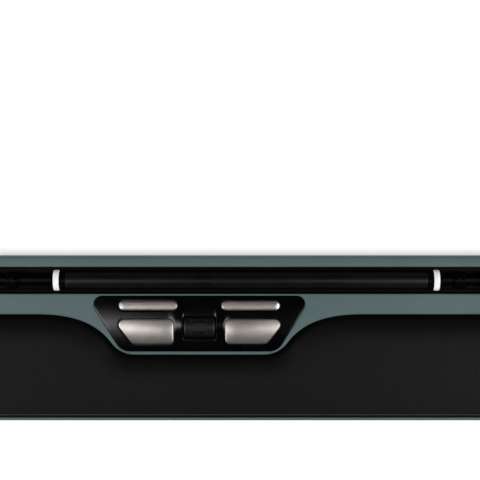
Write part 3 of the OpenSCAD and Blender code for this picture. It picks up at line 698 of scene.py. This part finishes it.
def cover_loop():
    """Plan outline of the cover, with plain corners in front and round ones at the back."""
    front_right, back_right = Vector((HALF_L, PAD_LINE)), Vector((HALF_L, HALF_D))
    front_left, back_left = Vector((-HALF_L, PAD_LINE)), Vector((-HALF_L, HALF_D))
    back = corner_points(front_right, back_right, back_left, CORNER_R, 14)
    back += corner_points(back_right, back_left, front_left, CORNER_R, 14)
    return spread(clean([front_left] + front_edge() + [front_right] + back), COVER_STEP)


def front_line():
    """Finds the distance to the line where the cover and the pad meet."""
    far = Vector((HALF_L + 40, PAD_LINE))
    line = [Vector((-far.x, far.y))] + front_edge() + [far]
    points = []
    for a, b in zip(line, line[1:]):
        parts = math.ceil((b - a).length / 0.4)
        points += [a.lerp(b, k / parts) for k in range(parts)]
    tree = kdtree.KDTree(len(points))
    for k, p in enumerate(points):
        tree.insert((p.x, p.y, 0), k)
    tree.balance()
    return lambda x, y: tree.find((x, y, 0))[2]


def forward_fall(y):
    """The cover's top slopes down a little towards the user."""
    return FRONT_FALL * max(0.0, (SLOT_FRONT - y) / (SLOT_FRONT - APRON_Y)) ** 2


def cover_height(x, y):
    """The cover slopes forwards, rolls off beside the pad and falls slightly at the back edge."""
    back = max(0.0, (y - SLOT_BACK) / (HALF_D - SLOT_BACK))
    roll = max(0.0, 1 - line_gap(x, y) / COVER_ROLL_WIDTH)
    return COVER_TOP - BACK_FALL * back * back - forward_fall(y) - COVER_ROLL_DROP * roll * roll


def cover_edge(x, y):
    """Edge radius: small along the pad, larger round the ends and the back."""
    return between(smooth((y - PAD_LINE) / 16), EDGE_FRONT, EDGE_BACK)


def make_cover():
    outer = cover_loop()
    inner = inset(outer, WALL)
    slot = rounded(rectangle(-SLOT_HALF, SLOT_HALF, SLOT_FRONT, SLOT_BACK), [0.6] * 4, 0, 4)
    holes = [spread(clean(loop), COVER_STEP) for loop in (slot, panel_outline(PANEL_FIT))]
    skin = Skin()
    recess = inset(outer, WALL / 2)
    foot = skin.flat_ring(recess, TRAY_TOP)
    last = foot
    for ring in (skin.flat_ring(recess, TRAY_TOP + REVEAL), skin.flat_ring(outer, TRAY_TOP + REVEAL)):
        skin.bridge(last, ring)
        last = ring
    tops = [rolled_edge(skin, outer, last, cover_height, cover_edge, 10)]
    unders = [skin.flat_ring(inner, PLATE_UNDER)]
    for hole in holes:
        loop = list(reversed(hole))
        unders.append(skin.flat_ring(loop, PLATE_UNDER))
        tops.append(rolled_edge(skin, loop, unders[-1], cover_height, HOLE_EDGE, 4))
    skin.fill(tops, cover_height, COVER_STEP)
    skin.fill(unders, flip=True)
    inner_foot = skin.flat_ring(inner, TRAY_TOP)
    skin.bridge(unders[0], inner_foot)
    skin.bridge(inner_foot, foot)
    cover = skin.make("case_cover")
    cut_port(cover)
    return cover


def cut_port(cover):
    """Opening for the plug in the back wall."""
    low, high = box_mm("usb_receptacle")
    play = 0.4
    w, h = high.x - low.x + play, high.z - low.z + play
    middle_x, middle_z = (low.x + high.x) / 2, (low.z + high.z) / 2
    outline = rounded(rectangle(-w / 2, w / 2, -h / 2, h / 2), [h / 2 - 0.02] * 4, 0, 8)
    tool = Skin()
    rings = [tool.ring((middle_x + p.x, y, middle_z + p.y) for p in outline)
             for y in (HALF_D - 3 * WALL, HALF_D + 1)]
    tool.bridge(rings[1], rings[0])
    tool.faces += [tuple(rings[0]), tuple(reversed(rings[1]))]
    cutter = tool.make("port_cutter")
    change = cover.modifiers.new("port", "BOOLEAN")
    change.operation, change.solver, change.object = "DIFFERENCE", "EXACT", cutter
    settle(cover)
    bpy.data.objects.remove(cutter)


def settle(obj):
    """Applies the modifiers to the mesh."""
    bpy.context.view_layer.update()
    final = bpy.data.meshes.new_from_object(obj.evaluated_get(bpy.context.evaluated_depsgraph_get()))
    obj.modifiers.clear()
    obj.data = final
    obj.data.set_sharp_from_angle(angle=math.radians(SHARP))


# ---------------------------------------------------------------- the wrist rest

def pad_height(x, y):
    """The pad's top follows its profile and dips beside the cover."""
    for (y0, z0), (y1, z1) in zip(PAD_PROFILE, PAD_PROFILE[1:]):
        if y <= y1:
            break
    roll = max(0.0, 1 - line_gap(x, y) / PAD_ROLL_WIDTH)
    return between((y - y0) / (y1 - y0), z0, z1) - PAD_ROLL_DROP * roll ** 3


def pad_edge(x, y):
    """Roll of the pad's edge: tight along the front, fuller beside the cover and at the ends."""
    return between(smooth((y - pad_low.y) / 12), PAD_EDGE_FRONT, PAD_EDGE_BACK)


def pad_loop():
    """Plan outline of the pad, a small gap away from the cover."""
    x, front_y, line_y = pad_high.x, pad_low.y, PAD_LINE - PAD_GAP
    front_left, front_right = Vector((-x, front_y)), Vector((x, front_y))
    corners = corner_points(Vector((-x, PAD_LINE)), front_left, front_right, PAD_CORNER_R, 10)
    corners += corner_points(front_left, front_right, Vector((x, PAD_LINE)), PAD_CORNER_R, 10)
    back = list(reversed(front_edge(-PAD_GAP)))
    return spread(clean(corners + [Vector((x, line_y))] + back + [Vector((-x, line_y))]), PAD_STEP)


def make_pad():
    skin = Skin()
    add_plate(skin, pad_loop(), [], pad_low.z, pad_height, pad_edge, spacing=PAD_STEP, steps=8)
    return skin.make("palm_pad", 60)


# ---------------------------------------------------------------- the control panel and its keys

def panel_height(x, y):
    """Crowned and tilted towards the user, with a raised cheek on each side of the wheel."""
    across = abs(x - CLUSTER_X)
    middle, half = (PANEL_BACK + PANEL_FRONT) / 2, (PANEL_BACK - PANEL_FRONT) / 2
    v = (y - middle) / half
    along = max(-1, min(1, (y - WHEEL_Y - CHEEK_FORWARD) / CHEEK_REACH))
    cheek = CHEEK_RISE * (1 + math.cos(math.pi * along))
    cheek *= smooth((across - CHEEK_INNER) / CHEEK_STEP) * smooth((CHEEK_OUTER - across) / CHEEK_FADE)
    cheek *= 1 - CHEEK_SLOPE * (across - OPENING_HALF_X)
    return PANEL_TOP + PANEL_LIFT - PANEL_CROWN * v * v + PANEL_TILT * v - forward_fall(y) + cheek


def make_panel():
    skin = Skin()
    holes = [wheel_outline()]
    for side in (-1, 1):
        holes += [large_outline(side, KEY_GAP), pill_outline(side, KEY_GAP)]
    holes = [spread(clean(h), 1.2) for h in holes]
    add_plate(skin, spread(clean(panel_outline()), 3), holes, panel_low.z, panel_height,
              PANEL_EDGE, PANEL_HOLE_EDGE, PANEL_STEP)
    return skin.make("cluster_panel")


def key_height(outline, side, face):
    """A key face domed from front to back; its dome is given before and behind the crest."""
    xs, ys = [p.x for p in outline], [p.y for p in outline]
    middle_x, middle_y = (max(xs) + min(xs)) / 2, (max(ys) + min(ys)) / 2
    half_x, half_y = (max(xs) - min(xs)) / 2, (max(ys) - min(ys)) / 2
    (outer_reach, outer_fall), (inner_reach, inner_fall) = face["outer"], face["inner"]

    def height(x, y):
        u, v = side * (x - middle_x), (y - middle_y) / half_y
        outward = max(0.0, 1 - (half_x - u - (1 - v) * half_y * 0.4) / outer_reach)
        inward = max(0.0, 1 - (half_x + u) / inner_reach)
        domed = face["top"] - face["dome"][v > 0] * v * v + face["tilt"] * v
        return domed - outer_fall * outward ** 2 - inner_fall * inward ** 2
    return height


def make_key(name, outline, side, face):
    """A metal key with a flange under the panel that keeps it in."""
    flange_w, flange_t, play = 1.0, 1.2, 0.02
    skin = Skin()
    pts = spread(clean(outline), 1.0)
    add_plate(skin, pts, [], KEY_LOW, key_height(outline, side, face), face["edge"], spacing=KEY_STEP)
    add_plate(skin, inset(pts, -flange_w), [], KEY_LOW - flange_t, lambda x, y: KEY_LOW - play, 0.2, steps=2)
    return skin.make(name)


# ---------------------------------------------------------------- the scroll wheel

def make_tyre():
    """Tyre with rounded shoulders and a short cross groove with raised lips every 60 degrees."""
    half, shoulder, steps = WHEEL_W / 2, 1.1, 240
    groove_depth, groove_half, groove_reach = 0.6, 0.8, 5.0
    lip_height, lip_middle, lip_half, lip_reach = 0.12, 1.1, 1.3, 5.4
    xs = [-half, -half + 0.05, -half + 0.25, -half + 0.6, -half + shoulder]
    flat = int(2 * (half - 1.6))
    xs = sorted(set(xs + [x * 0.5 for x in range(-flat, flat + 1)] + [-x for x in xs]))
    turns = [2 * math.pi * k / steps for k in range(steps)]
    skin = Skin()
    rings = []
    for x in xs:
        edge = max(0.0, abs(x) - (half - shoulder)) / shoulder
        r0 = WHEEL_R - shoulder * (1 - math.sqrt(max(0.0, 1 - edge * edge)))
        ring = []
        for a in turns:
            near = abs((math.degrees(a) + 60) % 60 - 30) * math.pi / 180 * WHEEL_R
            groove = smooth((groove_half - near) / 0.35) * smooth((groove_reach - abs(x)) / 0.5)
            lip = smooth((lip_half - abs(near - lip_middle)) / 0.7) * smooth((lip_reach - abs(x)) / 0.6)
            r = r0 - groove_depth * groove + lip_height * lip * (1 - groove)
            ring.append((CLUSTER_X + x, WHEEL_Y + r * math.sin(a), WHEEL_Z + r * math.cos(a)))
        rings.append(skin.ring(ring))
    bores = [skin.ring((CLUSTER_X + x, WHEEL_Y + HUB_R * math.sin(a), WHEEL_Z + HUB_R * math.cos(a))
                       for a in turns) for x in (-half, half)]
    rings = [bores[0]] + rings + [bores[1]]
    for a, b in zip(rings, rings[1:] + rings[:1]):
        skin.bridge(a, b)
    return skin.make("wheel_tyre", 50)


# ---------------------------------------------------------------- putting it together

line_gap = front_line()
put(make_cover(), "housing", "shell_teal", "top_cover")
pad = put(make_pad(), "housing", "pad_leather", "wrist_rest_pad")
put(make_panel(), "housing", "black_gloss", "control_panel")
for side, word in ((-1, "left"), (1, "right")):
    put(make_key(word + "_click_key", large_outline(side), side, LARGE_FACE),
        word + "_button", "button_metal", word + "_click_button")
    put(make_key(word + "_pill_key", pill_outline(side), side, PILL_FACE),
        word + "_pill", "button_metal", word + "_pill_button")
put(make_tyre(), "scroll_wheel", "soft_rubber", "scroll_wheel_tyre")


def turned(name, node, slot, edge):
    """A tube on the roller's axis in a CAD tube's place, with rounded edges."""
    low, high = box_mm(node)
    profile = tube_profile(low.x, high.x, (high.z - low.z) / 2, CORE_R, edge)
    return put(lathe_x(name, profile, ROLLER_Y, ROLLER_Z), "roller", slot, node)


turned("grip_sleeve", "roller_sleeve", "grip_rubber", 0.5)
for word in ("left", "right"):
    turned("ring_" + word, "roller_ring_" + word, "ring_white", 0.9)

# Black strips under the slot's two long sides beside the cradle: a dark sheet put there as painted shade, so
# that the slot looks near-black
STRIP_LAP, STRIP_CLEAR, STRIP_T = 0.6, 0.15, 0.5
for word, y0, y1 in (("front", SLOT_FRONT - STRIP_LAP, cradle_low.y - STRIP_CLEAR),
                     ("back", cradle_high.y + STRIP_CLEAR, SLOT_BACK + STRIP_LAP)):
    strip = Skin()
    outline = rounded(rectangle(-SLOT_HALF + 0.1, SLOT_HALF - 0.1, y0, y1), [0.3] * 4, 0, 4)
    add_plate(strip, outline, [], liner_low.z - STRIP_T, lambda x, y: liner_low.z + 0.04, 0.12, steps=3)
    put(strip.make("slot_shade_strip_" + word), "housing", "black_plastic")

# Each set of coil springs gets its own copy of its mesh, riding on the housing in place of the CAD node
for name, joint, travel in (("cradle", "roller_press", 0.7), ("wheel", "wheel_press", 0.5)):
    node = name + "_springs"
    coils = bpy.data.objects.new(name + "_press_coils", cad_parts[node].data.copy())
    bpy.context.collection.objects.link(coils)
    put(coils, "housing", "bright_steel", node)
    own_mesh(coils)


# ---------------------------------------------------------------- floor, light and camera

def area_light(name, place, target, width, height, radiance, shape="RECTANGLE"):
    data = bpy.data.lights.new(name, "AREA")
    data.shape, data.size, data.size_y = shape, width, height
    area = width * height * (math.pi / 4 if shape == "ELLIPSE" else 1)
    data.energy = radiance * math.pi * area
    light = bpy.data.objects.new(name, data)
    bpy.context.collection.objects.link(light)
    light.location = place
    light.rotation_euler = (Vector(target) - Vector(place)).to_track_quat("-Z", "Y").to_euler()
    return light


def make_floor():
    mesh = bpy.data.meshes.new("floor")
    s = 4.0
    mesh.from_pydata([(-s, -s, 0), (s, -s, 0), (s, s, 0), (-s, s, 0)], [], [(0, 1, 2, 3)])
    floor = bpy.data.objects.new("floor", mesh)
    bpy.context.collection.objects.link(floor)
    mesh.materials.append(MATERIALS["floor_white"])


make_floor()
for word, x, radiance in (("left", -1.8, 4.3), ("right", 1.8, 5.1)):
    area_light("side_" + word, (x, -0.45, 1.2), (0, 0, 0), 1.6, 1.2, radiance)

# Two oval soft boxes overhead, each with a bright core and a dim halo
BOX_Y, BOX_Z = -0.17, 1.5
for word, x, core, halo in (("left", -0.72, 2.9, 0.57), ("right", 0.77, 3.2, 0.6)):
    below = (x, BOX_Y, 0)
    area_light("overhead_" + word, (x, BOX_Y, BOX_Z), below, 1.02, 0.46, core, "ELLIPSE")
    area_light("overhead_halo_" + word, (x, BOX_Y, BOX_Z + 0.01), below, 1.25, 0.62, halo, "ELLIPSE")

world = bpy.data.worlds.new("studio")
bpy.context.scene.world = world
world.use_nodes = True
sky = world.node_tree


def sky_node(kind, values=None, **props):
    node = sky.nodes.new("ShaderNode" + kind)
    for key, value in props.items():
        setattr(node, key, value)
    for key, value in (values or {}).items():
        if isinstance(value, bpy.types.NodeSocket):
            sky.links.new(value, node.inputs[key])
        else:
            node.inputs[key].default_value = value
    return node.outputs


# Dark overhead, brighter near the horizon and brightest towards the two ends
way = sky_node("SeparateXYZ", {0: sky_node("TexCoord")["Generated"]})
low_down = sky_node("MapRange", {"Value": way["Z"], "From Min": 0.15, "From Max": 0.62,
                                 "To Min": 1.0, "To Max": 0.0})[0]
ends = sky_node("Math", {0: way["X"], 1: way["X"]}, operation="MULTIPLY")[0]
glow = sky_node("Math", {0: ends, 1: 0.7, 2: 0.15}, operation="MULTIPLY_ADD")[0]
level = sky_node("Math", {0: low_down, 1: glow, 2: 0.01}, operation="MULTIPLY_ADD")[0]
sky.links.new(level, sky.nodes["Background"].inputs["Strength"])
sky.nodes["Background"].inputs["Color"].default_value = (0.93, 0.96, 1.0, 1.0)

camera = bpy.data.objects.new("camera", bpy.data.cameras.new("camera"))
bpy.context.collection.objects.link(camera)
camera.location = (0.00256, 0.06336, COVER_TOP * MM + 0.88)  # straight above, looking down
camera.data.lens = 103.1
camera.data.sensor_width = 36
camera.data.clip_start = 0.01
bpy.context.scene.camera = camera
bpy.context.scene.view_settings.view_transform = "Standard"
bpy.context.scene.view_settings.look = "None"
